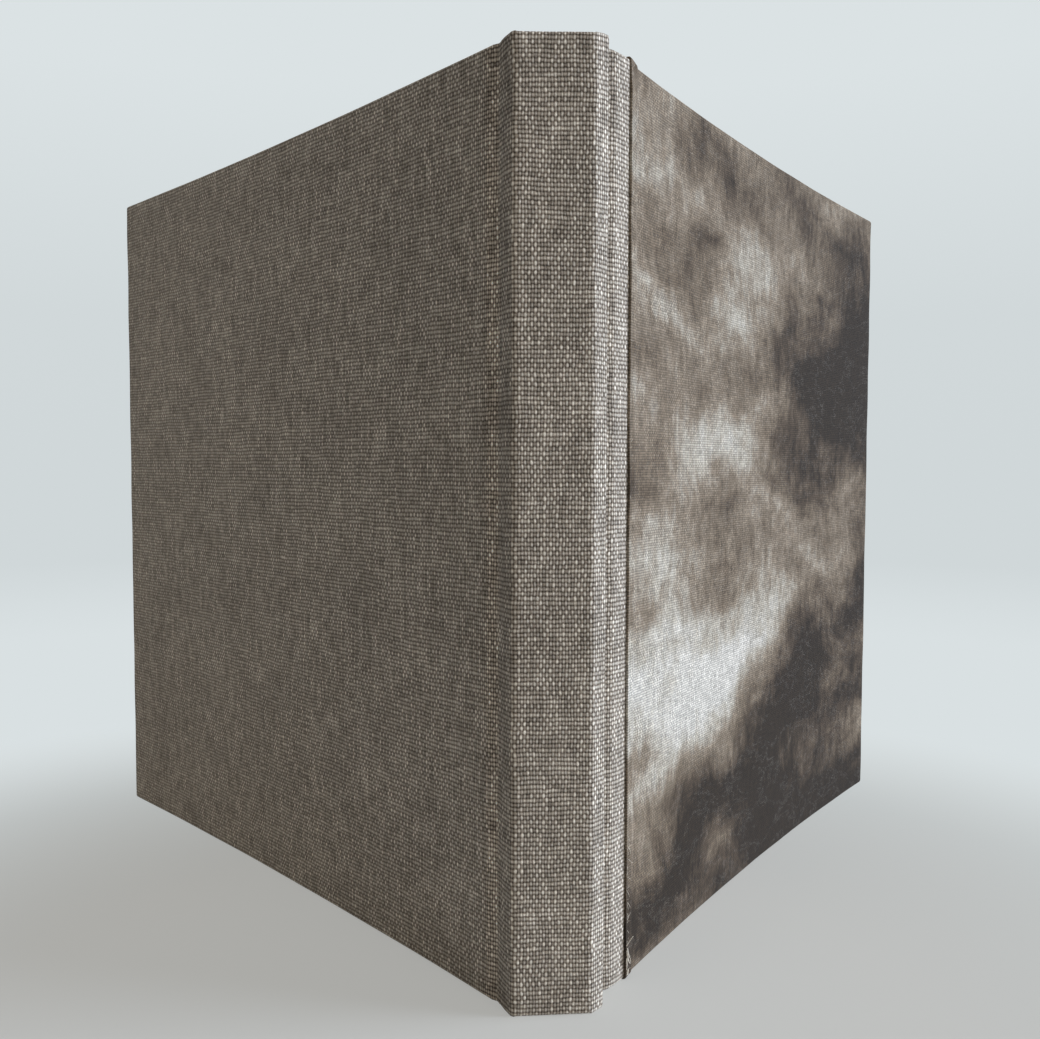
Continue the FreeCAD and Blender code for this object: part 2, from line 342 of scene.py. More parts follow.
def bend(piece, line, level=0.0):
    """Takes a flat cloth to its place: round the line in plan, which lies level deep in it."""
    for vertex in piece.data.vertices:
        x, y, z = vertex.co
        vertex.co = (*line.at(x, y - level), z)
    if line.inward < 0:         # the other cover's bend turns it inside out
        piece.data.flip_normals()


def shade(piece, material, angle=40):
    piece.data.materials.clear()
    piece.data.materials.append(material)
    bpy.ops.object.select_all(action="DESELECT")
    piece.select_set(True)
    bpy.context.view_layer.objects.active = piece
    bpy.ops.object.shade_smooth_by_angle(angle=math.radians(angle))


def ripple(piece, height, where):
    """Moves the points that pass the test in or out a little, in slow uneven waves."""
    rng = random.Random(piece.name)
    waves = [(rng.uniform(-1, 1), rng.uniform(-1, 1), rng.uniform(0, 6.3)) for _ in range(6)]
    for v in piece.data.vertices:
        if where(v.co):
            v.co.y += height / 6 * sum(
                math.sin(v.co.x / MM * a * 0.35 + v.co.z / MM * b * 0.35 + c) for a, b, c in waves)


def raise_head(piece, rise):
    """Lifts the cloth at the head off its board, by as much as rise gives along it."""
    for v in piece.data.vertices:
        v.co.z += rise(v.co.x) * ease(HEIGHT - 26 * MM, HEIGHT - 1 * MM, v.co.z)


def narrow_hinge(edge, towards, thick, steps, reach=0.9 * MM):
    """Extrudes the open end of a folded cloth past its board, thinner there, to a given place."""
    pick("edges", lambda e: e.is_boundary and all(abs(v.co.x - edge) < 1e-6 for v in e.verts))
    away = math.copysign(1, towards - edge)
    first = away * min(reach, abs(towards - edge) / 2)
    bpy.ops.mesh.extrude_region_move(TRANSFORM_OT_translate={"value": (first, 0, 0)})
    bpy.ops.transform.resize(value=(1, 2 * LINEN / thick, 1), center_override=(edge, 0, 0))
    step = (towards - edge - first) / steps
    for _ in range(steps):
        bpy.ops.mesh.extrude_region_move(TRANSFORM_OT_translate={"value": (step, 0, 0)})


def wrapped_cloth(name, start, stop, thick, fore_edge, columns, rows):
    """A cloth folded round a board that lies flat: outer face, head, tail, fore-edge and the
    turned-in strips inside. It is open at its ends, apart from a fore-edge."""
    piece = begin(name, (start, 0, 0), (stop, thick, HEIGHT))
    level = lambda e, axis, at: all(abs(v.co[axis] - at) < 1e-7 for v in e.verts)
    if fore_edge:
        pick("edges", lambda e: not level(e, 0, start)
             and (level(e, 2, 0) or level(e, 2, HEIGHT) or level(e, 0, stop)))
    else:
        pick("edges", lambda e: (level(e, 2, 0) or level(e, 2, HEIGHT))
             and abs(e.verts[0].co.x - e.verts[1].co.x) > 1e-6)
    bpy.ops.mesh.bevel(offset=min(EDGE_R, thick * 0.45), segments=3, profile=0.55)
    divide(0, columns)
    divide(2, rows)
    inner_stop = stop - TURN_IN if fore_edge else stop
    cut_across(2, TURN_IN)
    cut_across(2, HEIGHT - TURN_IN)
    if fore_edge:
        cut_across(0, inner_stop)
    open_ends = (start,) if fore_edge else (start, stop)
    pick("faces", lambda f: any(abs(middle(f).x - end) < 1e-6 for end in open_ends) or (
        f.normal.y > 0.9 and middle(f).x < inner_stop and TURN_IN < middle(f).z < HEIGHT - TURN_IN))
    bpy.ops.mesh.delete(type="FACE")
    return piece


def finish_cloth(piece, line, thick, length, material, waviness=0.0, rise=None, opened=None):
    """Gives a folded cloth its thickness and map, and takes it to its place."""
    bpy.ops.object.mode_set(mode="OBJECT")
    if waviness:
        ripple(piece, waviness, lambda co: co.y < thick / 2)
    map_cloth(piece, thick, length)
    # on the linen the opened mark carries painted shade and painted light as well as a looser weave
    mark(piece, "opened", lambda co: opened(co.x) if opened else 0.0)
    mark(piece, "folded", lambda co: ease(-0.1 * MM, 0.2 * MM, co.y) * (
        1 - ease(0, 1 * MM, co.y - thick)) * max(
            0.35 * (co.z < EDGE_R or co.z > HEIGHT - EDGE_R),
            (co.x > length - EDGE_R) * (0.3 + 0.7 * ease(HEIGHT - 22 * MM, HEIGHT - 5 * MM, co.z))))
    if rise:
        raise_head(piece, rise)
    apply_modifier(piece, "SOLIDIFY", thickness=LINEN, offset=-1, use_even_offset=True)
    bend(piece, line, LINEN / 2)
    shade(piece, material)
    return piece


def make_spine_cloth(material):
    """Round the left corner, flat along the right one, where the board's edge is pared away."""
    corner = spine_corner(1)
    pared = [corner - Vector((PARED_ACROSS, 0)),
             corner.lerp(swell(1), PARED_IN / (swell(1).y - corner.y))]
    feet = [BACK.foot, swell(-1), spine_corner(-1), *pared, swell(1), FRONT.foot]
    radii = [WALL_BEND_R, BACK_CORNER_R, PARED_R, PARED_R, WALL_BEND_R / 2]
    line = Line(rounded(feet, radii, 8), 1)
    face = [run for run, point in zip(line.run, line.points) if abs(point.y - corner.y) < 1e-7]
    start, stop = face[0], face[-1]
    piece = wrapped_cloth("linen_spine", start, stop, SPINE_DEPTH, False, 24, 70)
    narrow_hinge(start, 0.0, SPINE_DEPTH, 22, 0.4 * MM)
    narrow_hinge(stop, line.run[-1], SPINE_DEPTH, 22, 0.42 * MM)
    rise = lambda x: HEAD_RISE * (0.5 * ease(start, stop, x) + 0.5 * ease(stop, stop + 3 * MM, x))
    return finish_cloth(piece, line, SPINE_DEPTH, line.run[-1], material, 0.12 * MM, rise)


def make_back_cloth(material):
    thick = BOARD + 2 * LINEN
    stop = BACK.run_to(BACK.end) + LINEN
    piece = wrapped_cloth("linen_back", BACK.ridge, stop, thick, True, 70, 70)
    narrow_hinge(BACK.ridge, 0.0, thick, 14)
    # opened: 1 at the joint, wider holes and painted light; below zero past the ridge and lowest at
    # the fore-edge, where the closed holes make the cloth lighter, painted light
    opened = lambda x: (1 - 1.2 * ease(BACK.ridge, BACK.ridge + 0.8 * MM, x)
                        - 0.7 * ease(BACK.ridge + 20 * MM, stop, x))
    return finish_cloth(piece, BACK.line, thick, stop, material, 0.12 * MM, opened=opened)


def make_linen_strip(material):
    """The strip's edge runs on under the printed cloth."""
    thick = BOARD + 2 * LINEN
    seam = FRONT.run_to(SEAM_S)
    piece = wrapped_cloth("linen_strip", FRONT.ridge, seam, thick, False, 8, 70)
    narrow_hinge(FRONT.ridge, 0.0, thick, 14)
    pick("edges", lambda e: e.is_boundary and all(
        abs(v.co.x - seam) < 1e-6 and v.co.y < 1e-6 for v in e.verts))
    for _ in range(4):
        bpy.ops.mesh.extrude_region_move(TRANSFORM_OT_translate={"value": (0.2 * LAP, 0, 0)})
    # opened: a half in the joint, where wider holes darken the cloth: painted shade over a looser
    # weave
    opened = lambda x: 0.5 - 0.5 * ease(FRONT.ridge - 0.2 * MM, FRONT.ridge + 0.5 * MM, x)
    rise = lambda x: HEAD_RISE
    return finish_cloth(piece, FRONT.line, thick, seam + LAP, material, rise=rise, opened=opened)


def make_printed_cloth(material):
    """It lies on the linen's edge along its own raw edge, and on the board past that."""
    thick = BOARD + 2 * LINEN
    start, stop = FRONT.run_to(SEAM_S) - RAW_OVER, FRONT.run_to(FRONT.end) + LINEN
    piece = wrapped_cloth("printed_cloth", start, stop, thick, True, 54, 70)
    for step in (0.3, 0.6, 1.0, 1.4, 1.8, 2.4, 2.8, 3.1, 3.5, 4.2):
        cut_across(0, start + step * MM)
    bpy.ops.object.mode_set(mode="OBJECT")
    for v in piece.data.vertices:
        lap = LINEN * (1 - ease(LAP - 0.4 * MM, LAP + 0.6 * MM, v.co.x - start))
        near_head = ease(HEIGHT - 7 * MM, HEIGHT - 1 * MM, v.co.z)
        loose = RAW_LIFT * (1 - ease(0, 1.2 * MM, v.co.x - start)) * (1 - near_head)
        v.co.y -= (lap * (1 - 0.4 * near_head) + loose) * (1 - min(max(v.co.y / thick, 0), 1))
        v.co.z += lap * ease(HEIGHT - 3 * MM, HEIGHT - 0.5 * MM, v.co.z)
    rise = lambda x: HEAD_RISE * (1 - ease(start, start + LAP, x))
    return finish_cloth(piece, FRONT.line, thick, stop, material, 0.12 * MM, rise)


# --- hinge papers and mull -------------------------------------------------------------------

def make_hinge_sheet(name, cover, block_side, stop, heights, thick, lift, material):
    """A sheet glued to the block's shoulder and to a cover's inside. It crosses the joint
    between them, and lift gives how far other layers hold it off the board."""
    inside = cover.along_board(RIDGE_S + 0.4 * MM, stop, BOARD)
    line = Line(rounded([*block_side, inside[0], inside[1]], [1.5 * MM, 0.8 * MM]) + inside[2:],
                cover.side)
    offset = line.run[-1] - stop
    piece = begin(name, (0, 0, heights[0]), (line.run[-1], thick, heights[1]))
    pick("faces", lambda f: f.normal.y > -0.9)
    bpy.ops.mesh.delete(type="FACE")
    divide(0, 70)
    divide(2, 60)
    for axis, at in ((2, TURN_IN + LINEN), (2, HEIGHT - TURN_IN - LINEN),
                     (0, offset + RIDGE_S + MULL_FLAP), (0, offset + cover.end - TURN_IN)):
        for side in (-0.5, 0.5):
            cut_across(axis, at + side * 0.8 * MM)
    bpy.ops.object.mode_set(mode="OBJECT")
    for v in piece.data.vertices:
        v.co.y += lift(v.co.x - offset, v.co.z)
    ripple(piece, 0.05 * MM, lambda co: co.x > offset + 2 * RIDGE_S)
    map_cloth(piece, 1.0, line.run[-1])
    apply_modifier(piece, "SOLIDIFY", thickness=thick, offset=-1, use_even_offset=True)
    bend(piece, line)
    shade(piece, material)
    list(block_side[-1])
    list(inside[1])
    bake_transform(piece)
    return piece, line.run[-1]


def make_endpaper(cover, material):
    """The endpaper's glued half. It lies on the mull and on the turned-in cloths, and sinks to
    the board between them."""
    def lift(s, z):
        half = 0.4 * MM
        low, high = TURN_IN + LINEN, HEIGHT - TURN_IN - LINEN
        over = max(1 - ease(low - half, low + half, z), ease(high - half, high + half, z),
                   ease(cover.end - TURN_IN - half, cover.end - TURN_IN + half, s))
        flap_end = RIDGE_S + MULL_FLAP
        return LINEN * max(over, 0.55 * (1 - ease(flap_end - half, flap_end + half, s))) + 0.05 * MM

    near = [Vector((cover.side * (LEAF.x + PAPER / 2), y)) for y in (BLOCK[0].y + 0.6 * MM,
                                                                    BLOCK[0].y + 2.4 * MM)]
    heights = (LINEN + PAPER_MARGIN, HEIGHT - LINEN - PAPER_MARGIN)
    return make_hinge_sheet("endpaper_" + cover.body[:-6], cover, near, cover.end - PAPER_MARGIN,
                            heights, PAPER, lift, material)


def make_mull_hinge(cover, material):
    """The mull's free edge, from the block's back round its shoulder to the board's inside."""
    near = [Vector((cover.side * (BLOCK[1].x + out), BLOCK[0].y + in_))
            for out, in_ in ((-0.2 * MM, -0.1 * MM), (0.4 * MM, 1.0 * MM))]
    heights = (BLOCK[0].z + MULL_SHORT, BLOCK[1].z - MULL_SHORT)
    return make_hinge_sheet("mull_" + cover.body[:-6], cover, near, RIDGE_S + MULL_FLAP, heights,
                            0.1 * MM, lambda s, z: 0.02 * MM, material)


def make_spine_board(material):
    """The stiff strip in the spine, pared along its right edge."""
    (left, front, _), (right, _, _) = BOARD_ENDS
    piece = begin("spine_greyboard", *BOARD_ENDS)
    for side, offset, segments in ((right, PARED_BOARD, 1), (left, BACK_CORNER_R / 2, 3)):
        pick("edges", lambda e: all(
            abs(v.co.x - side) + abs(v.co.y - front) < 1e-6 for v in e.verts))
        bpy.ops.mesh.bevel(offset=offset, segments=segments)
    divide(2, 12)
    bpy.ops.object.mode_set(mode="OBJECT")
    shade(piece, material, 30)
    return piece


def make_band(name, edge, up, material):
    """A bead of thread wound over a cord, with the cloth that holds it to the block's back."""
    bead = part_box("headband" if up > 0 else "tailband")
    length = bead[1].x - bead[0].x
    pitch = length / BEAD_WINDS
    centre = (0, bead[0].y + BEAD_R, edge + up * BEAD_R)
    bpy.ops.object.select_all(action="DESELECT")
    bpy.ops.mesh.primitive_cylinder_add(vertices=14, radius=BEAD_R, depth=length, location=centre,
                                        rotation=(0, math.pi / 2, 0))
    bpy.ops.object.transform_apply(location=True, rotation=True, scale=True)
    piece = bpy.context.object
    piece.name = piece.data.name = name
    bpy.ops.object.mode_set(mode="EDIT")
    pick("edges", lambda e: abs(e.verts[0].co.x - e.verts[1].co.x) > 0.9 * length)
    bpy.ops.mesh.subdivide(number_cuts=4 * BEAD_WINDS - 1)
    pick("verts", lambda v: abs((v.co.x / pitch + 0.5) % 1 - 0.5) < 0.05)
    bpy.ops.transform.resize(value=(1, 0.86, 0.86), center_override=centre)
    bpy.ops.mesh.primitive_cube_add(
        size=1, location=(0, bead[0].y + MULL / 2, edge - up * (BAND_CLOTH / 2 - BAND_PROUD)),
        scale=(length, MULL, BAND_CLOTH))
    bpy.ops.object.mode_set(mode="OBJECT")
    shade(piece, material, 60)
    return piece


def loose_thread(rng, root, way, length, thickness):
    """One cut end of thread that has worked loose: a thin tube with a curl."""
    bpy.ops.object.select_all(action="DESELECT")
    bpy.ops.mesh.primitive_cylinder_add(vertices=5, radius=thickness / 2, depth=length,
                                        location=(0, 0, length / 2))
    bpy.ops.object.transform_apply(location=True, rotation=False, scale=False)
    hair = bpy.context.object
    bpy.ops.object.mode_set(mode="EDIT")
    pick("edges", lambda e: abs(e.verts[0].co.z - e.verts[1].co.z) > 0.9 * length)
    bpy.ops.mesh.subdivide(number_cuts=7)
    bpy.ops.object.mode_set(mode="OBJECT")
    curl, roll = rng.uniform(0.3, 1.3), rng.uniform(0, 6.3)
    turn = way.to_track_quat("Z", "Y").to_matrix()
    for v in hair.data.vertices:
        share = v.co.z / length
        v.co.xy *= 1 - 0.5 * share
        bow = length * curl * 0.35 * share * share
        v.co.x += bow * math.cos(roll + 2 * share)
        v.co.y += bow * math.sin(roll + 2 * share)
        v.co = root + turn @ v.co
    return hair


def make_fray(name, threads, material):
    """Loose threads joined into one piece."""
    hairs = [loose_thread(*thread) for thread in threads]
    bpy.ops.object.select_all(action="DESELECT")
    for hair in hairs:
        hair.select_set(True)
    bpy.context.view_layer.objects.active = hairs[0]
    bpy.ops.object.join()
    hairs[0].name = hairs[0].data.name = name
    shade(hairs[0], material, 80)
    return hairs[0]


def seam_threads(rng):
    """Short ends along the printed cloth's raw edge, and a few longer ones at its foot. A group
    has its count, lowest and highest place, greatest length and thickness, and steepness."""
    start = FRONT.run_to(SEAM_S)
    outwards = (FRONT.in_plan(0, 1) - FRONT.in_plan(0, 0)).normalized()
    back = (FRONT.in_plan(0, 0) - FRONT.in_plan(1, 0)).normalized()
    for count, low, high, longest, thick, upright in (
            (16, 1, 7, 3.0, 0.26, 1.6), (22, 1, 30, 1.5, 0.08, 0.5), (30, 2, 178, 0.9, 0.07, 0.5),
            (8, 170, 179, 1.2, 0.08, 0.5)):
        for _ in range(count):
            z = rng.uniform(low, high) * MM
            root = FRONT.line.at(start - RAW_OVER + rng.uniform(-0.1, 0.4) * MM,
                                 -rng.uniform(1.9, 2.5) * LINEN)
            side = outwards * rng.uniform(0.1, 0.4) + back * rng.uniform(-0.3, 0.3)
            sense = rng.choice((-1, 1)) if z > 3.5 * MM else 1
            way = Vector((*side, upright * sense * rng.uniform(0.5, 1)))
            yield (rng, Vector((*root, z)), way, rng.uniform(0.4, longest) * MM,
                   thick * rng.uniform(0.7, 1.1) * MM)


# --- materials -----------------------------------------------------------------------------

def shader(name, **constants):
    """A material's tree and its one shader, with the settings that are the same all over."""
    material = bpy.data.materials.new(name)
    material.use_nodes = True
    tree = material.node_tree
    surface = tree.nodes["Principled BSDF"]
    for socket, value in constants.items():
        surface.inputs[socket.replace("_", " ")].default_value = value
    return material, tree, surface


def ramp(tree, factor, stops):
    """A colour ramp through (place, hex code) pairs."""
    made = add(tree, "ValToRGB", {"Fac": factor})
    colours = made.color_ramp.elements
    colours[0].position, colours[1].position = stops[0][0], stops[-1][0]
    colours[0].color, colours[1].color = linear(stops[0][1]), linear(stops[-1][1])
    for place, code in stops[1:-1]:
        colours.new(place).color = linear(code)
    return made.outputs["Color"]


def finish(tree, surface, colour, height, distance, strength=1.0):
    """Joins a colour and a relief to the shader."""
    tree.links.new(colour, surface.inputs["Base Color"])
    bump = add(tree, "Bump", {"Height": height, "Strength": strength, "Distance": distance})
    tree.links.new(bump.outputs[0], surface.inputs["Normal"])


def plain_weave(tree, warp_pitch, weft_pitch, gap, wander, opened=None):
    """Over-and-under threads on the cloth's own map. Gives the height of the weave, from about
    -0.5 in a hole to 1 on a crown, and the tone of the thread on top, about 0.5."""
    chart = add(tree, "UVMap", uv_map="cloth").outputs["UV"]
    drift = add(tree, "TexNoise", {"Vector": chart, "Scale": 0.11, "Detail": 4.0,
                                   "Roughness": 0.6}).outputs["Color"]
    drift = add(tree, "VectorMath", {0: drift, 1: (-0.5,) * 3}, operation="ADD").outputs[0]
    drift = add(tree, "VectorMath", {0: drift, 1: (wander,) * 3, 2: chart},
                operation="MULTIPLY_ADD").outputs[0]
    cells = add(tree, "VectorMath", {0: drift, 1: (warp_pitch, weft_pitch, 1.0)},
                operation="DIVIDE").outputs[0]
    crossing = add(tree, "VectorMath", {0: cells}, operation="FLOOR").outputs[0]
    whole = add(tree, "SeparateXYZ", {0: crossing})
    part = add(tree, "SeparateXYZ", {0: cells})
    # each thread has a tone and a thickness of its own that change slowly along it
    tones = []
    for own, along, offset in ((whole.outputs["X"], part.outputs["Y"], 0.0),
                               (whole.outputs["Y"], part.outputs["X"], 40.5)):
        across = add(tree, "Math", {0: own, 1: 7.31, 2: offset},
                     operation="MULTIPLY_ADD").outputs[0]
        slow = add(tree, "Math", {0: along, 1: 0.11}, operation="MULTIPLY").outputs[0]
        place = add(tree, "CombineXYZ", {"X": across, "Y": slow}).outputs[0]
        tones.append(add(tree, "TexNoise", {"Vector": place, "Scale": 1.0, "Detail": 2.5,
                                            "Roughness": 0.65}).outputs["Fac"])
    both = add(tree, "CombineXYZ", {"X": tones[0], "Y": tones[1]}).outputs[0]
    gaps = add(tree, "VectorMath", {0: both, 1: (-1.5,) * 3, 2: (gap + 0.75,) * 3},
               operation="MULTIPLY_ADD").outputs[0]
    # the linen's opened mark shifts the gaps; with a looser weave it carries painted shade and
    # painted light
    if opened:
        gaps = add(tree, "VectorMath", {0: gaps, 1: opened}, operation="ADD").outputs[0]
    turns = add(tree, "VectorMath", {0: cells, 1: (math.pi,) * 3}, operation="MULTIPLY").outputs[0]
    wave = add(tree, "VectorMath", {0: turns}, operation="SINE").outputs[0]
    round_ = add(tree, "VectorMath", {0: wave}, operation="ABSOLUTE").outputs[0]
    profile = add(tree, "VectorMath", {0: round_, 1: gaps}, operation="SUBTRACT").outputs[0]
    signs = add(tree, "VectorMath", {0: wave}, operation="SIGN").outputs[0]
    apart = add(tree, "SeparateXYZ", {0: wave})
    swapped = add(tree, "CombineXYZ", {"X": apart.outputs["Y"],
                                       "Y": apart.outputs["X"]}).outputs[0]
    over = add(tree, "VectorMath", {0: signs, 1: swapped}, operation="MULTIPLY").outputs[0]
    heights = add(tree, "VectorMath", {0: over, 1: (0.54, -0.25, 0.0), 2: profile},
                  operation="MULTIPLY_ADD").outputs[0]
    # a thread dips where it leaves one crossing for the next
    dip = add(tree, "VectorMath", {0: swapped}, operation="ABSOLUTE").outputs[0]
    dip = add(tree, "VectorMath", {0: dip, 1: (0.26, 0.16, 0.0), 2: (-0.24, -0.26, 0.0)},
              operation="MULTIPLY_ADD").outputs[0]
    heights = add(tree, "VectorMath", {0: heights, 1: dip}, operation="ADD").outputs[0]
    heights = add(tree, "SeparateXYZ", {0: heights})
    height, on_top = (add(tree, "Math", {0: heights.outputs["X"], 1: heights.outputs["Y"]},
                          operation=rule).outputs[0] for rule in ("MAXIMUM", "GREATER_THAN"))
    calm = add(tree, "Math", {0: tones[1], 1: 0.5, 2: 0.25}, operation="MULTIPLY_ADD").outputs[0]
    tone = add(tree, "Mix", {0: on_top, 2: calm, 3: tones[0]}, data_type="FLOAT").outputs[0]
    each = add(tree, "TexWhiteNoise", {"Vector": crossing}).outputs["Value"]
    each = add(tree, "Math", {0: each, 1: 0.24, 2: -0.12}, operation="MULTIPLY_ADD").outputs[0]
    tone = add(tree, "Math", {0: tone, 1: each}, operation="ADD").outputs[0]
    return chart, height, tone


def linen():
    """Undyed flax, plain weave, 17 by 12 threads to the centimetre. Thick and thin threads. The
    colour darkens into the holes between them, painted shade, and lightens on the crowns where one
    rides over another, painted highlight."""
    material, tree, surface = shader("undyed_linen_plain_weave", Roughness=0.85, IOR=1.5,
                                     Sheen_Weight=0.12, Sheen_Roughness=0.5)
    # the opened mark widens the weave's holes at the joints and closes them towards the back
    # cover's fore-edge. The wider holes darken the front joint: painted shade over a looser weave.
    # The closed holes make the back cover lighter towards its fore-edge: painted light.
    opening_and_painted_light = add(tree, "Attribute", attribute_name="opened").outputs["Fac"]
    gap_shift_and_painted_light = add(tree, "Math", {0: opening_and_painted_light, 1: 0.16}, operation="MULTIPLY").outputs[0]
    chart, height, tone = plain_weave(tree, 0.58, 0.83, 0.35, 1.0, gap_shift_and_painted_light)
    fibres = add(tree, "TexNoise", {"Vector": chart, "Scale": 2.6, "Detail": 3.0}).outputs["Fac"]
    lift = add(tree, "Math", {0: fibres, 1: 0.9, 2: -0.45}, operation="MULTIPLY_ADD").outputs[0]
    rough_height = add(tree, "Math", {0: height, 1: lift}, operation="ADD").outputs[0]
    # where the mark is below zero, towards the back cover's fore-edge, the colour's contrast is
    # flattened
    pressed = add(tree, "MapRange", {"Value": opening_and_painted_light, "From Min": -0.9, "From Max": 0.0,
                                     "To Min": 0.7}).outputs["Result"]
    level = add(tree, "Math", {0: rough_height, 1: 0.45}, operation="SUBTRACT").outputs[0]
    level = add(tree, "Math", {0: level, 1: pressed, 2: 0.45}, operation="MULTIPLY_ADD").outputs[0]
    # the colour follows the weave's height: painted shade in the holes, painted highlight on the
    # crowns
    level = add(tree, "MapRange", {"Value": level, "From Min": -0.3, "From Max": 1.05})
    colour = ramp(tree, level.outputs["Result"], (
        (0.0, "#372E26"), (0.25, "#6F6458"), (0.55, "#9E9385"), (0.8, "#B9B0A3"), (1.0, "#E8E2D8")))
    strength = add(tree, "MapRange", {"Value": tone, "From Min": 0.3, "From Max": 0.7,
                                      "To Min": 0.70, "To Max": 1.24}).outputs["Result"]
    clouds = add(tree, "TexNoise", {"Vector": chart, "Scale": 0.05, "Detail": 4.0}).outputs["Fac"]
    clouds = add(tree, "MapRange", {"Value": clouds, "From Min": 0.3, "From Max": 0.7,
                                    "To Min": 0.92, "To Max": 1.08}).outputs["Result"]
    strength = add(tree, "Math", {0: strength, 1: clouds}, operation="MULTIPLY").outputs[0]
    # painted light: at the back joint, where the mark is over a half, the colour is scaled up by as
    # much as 1.4
    painted_light_gain = add(tree, "MapRange", {"Value": opening_and_painted_light, "From Min": 0.5, "To Min": 1.0,
                                   "To Max": 1.4}).outputs["Result"]
    strength = add(tree, "Math", {0: strength, 1: painted_light_gain}, operation="MULTIPLY").outputs[0]
    colour = add(tree, "VectorMath", {0: colour, "Scale": strength}, operation="SCALE").outputs[0]
    finish(tree, surface, colour, rough_height, 0.12 * MM)
    return material


def printed_cotton():
    """Fine cotton printed with a marbled wash in sepia and pale grey. Worn brown at its folds."""
    material, tree, surface = shader("printed_cotton", Roughness=0.9, IOR=1.4,
                                     Sheen_Weight=0.02, Sheen_Roughness=0.5)
    chart, height, tone = plain_weave(tree, 0.5, 0.52, 0.36, 0.5)
    drift = add(tree, "TexNoise", {"Vector": chart, "Scale": 0.03, "Detail": 3.0}).outputs["Color"]
    folds = add(tree, "VectorMath", {0: drift, 1: (20.0,) * 3, 2: chart},
                operation="MULTIPLY_ADD").outputs[0]
    folds = add(tree, "Mapping", {"Vector": folds, "Location": (20, 60, 10)}).outputs[0]
    flow = add(tree, "Mapping", {"Vector": folds, "Rotation": (0, 0, math.radians(35)),
                                 "Scale": (0.55, 1.3, 1.0)}).outputs[0]
    wash = add(tree, "TexNoise", {"Vector": flow, "Scale": 0.017, "Detail": 5.0,
                                  "Roughness": 0.5}).outputs["Fac"]
    brush = add(tree, "Mapping", {"Vector": folds, "Scale": (1.0, 0.38, 1.0)}).outputs[0]
    brush = add(tree, "TexNoise", {"Vector": brush, "Scale": 0.3, "Detail": 7.0,
                                   "Roughness": 0.74}).outputs["Fac"]
    mixed = add(tree, "Math", {0: brush, 1: 0.2, 2: -0.1}, operation="MULTIPLY_ADD").outputs[0]
    mixed = add(tree, "Math", {0: wash, 1: mixed}, operation="ADD").outputs[0]
    up = add(tree, "SeparateXYZ", {0: chart}).outputs["Y"]
    paler_up = add(tree, "MapRange", {"Value": up, "From Max": HEIGHT / MM, "To Min": -0.03,
                                      "To Max": 0.045}).outputs["Result"]
    mixed = add(tree, "Math", {0: mixed, 1: paler_up}, operation="ADD").outputs[0]
    colour = ramp(tree, mixed, ((0.43, "#2C231A"), (0.475, "#4C4034"), (0.515, "#6A5D4E"),
                                (0.565, "#877A6A"), (0.62, "#AEA79A"), (0.68, "#C8C4BC")))
    # fine pale veins where two washes meet
    veins = add(tree, "TexNoise", {"Vector": flow, "Scale": 0.09, "Detail": 7.0,
                                   "Roughness": 0.7}).outputs["Fac"]
    veins = add(tree, "Math", {0: veins, 1: 0.5}, operation="SUBTRACT").outputs[0]
    veins = add(tree, "Math", {0: veins}, operation="ABSOLUTE").outputs[0]
    veins = add(tree, "MapRange", {"Value": veins, "From Max": 0.006, "To Min": 0.16,
                                   "To Max": 0.0}).outputs["Result"]
    colour = add(tree, "Mix", {0: veins, 6: colour, 7: linear("#C9C6C0")},
                 data_type="RGBA").outputs[2]
    # the colour follows the weave's height: painted shade in the holes, painted highlight on the
    # crowns
    shadow = add(tree, "MapRange", {"Value": height, "From Min": -0.3, "From Max": 1.0,
                                    "To Min": 0.38, "To Max": 1.33}).outputs["Result"]
    threads = add(tree, "MapRange", {"Value": tone, "From Min": 0.3, "From Max": 0.7,
                                     "To Min": 0.74, "To Max": 1.26}).outputs["Result"]
    shadow = add(tree, "Math", {0: shadow, 1: threads}, operation="MULTIPLY").outputs[0]
    colour = add(tree, "VectorMath", {0: colour, "Scale": shadow}, operation="SCALE").outputs[0]
    worn = add(tree, "Attribute", attribute_name="folded").outputs["Fac"]
    patch = add(tree, "TexNoise", {"Vector": chart, "Scale": 0.12, "Detail": 4.0}).outputs["Fac"]
    patch = add(tree, "MapRange", {"Value": patch, "From Min": 0.42, "From Max": 0.55}).outputs[0]
    worn = add(tree, "Math", {0: worn, 1: patch}, operation="MULTIPLY").outputs[0]
    colour = add(tree, "Mix", {0: worn, 6: colour, 7: linear("#715A45")},
                 data_type="RGBA").outputs[2]
    finish(tree, surface, colour, height, 0.06 * MM, 0.7)
    return material


def cotton_thread():
    """Unprinted cotton ends, pale and fuzzy."""
    material, tree, surface = shader("raw_cotton_thread", Roughness=0.9)
    place = add(tree, "TexCoord").outputs["Object"]
    fibres = add(tree, "TexNoise", {"Vector": place, "Scale": 6 / MM,
                                    "Detail": 2.0}).outputs["Fac"]
    colour = ramp(tree, fibres, ((0.3, "#C4BCAD"), (0.7, "#EFEAE0")))
    finish(tree, surface, colour, fibres, 0.02 * MM)
    return material


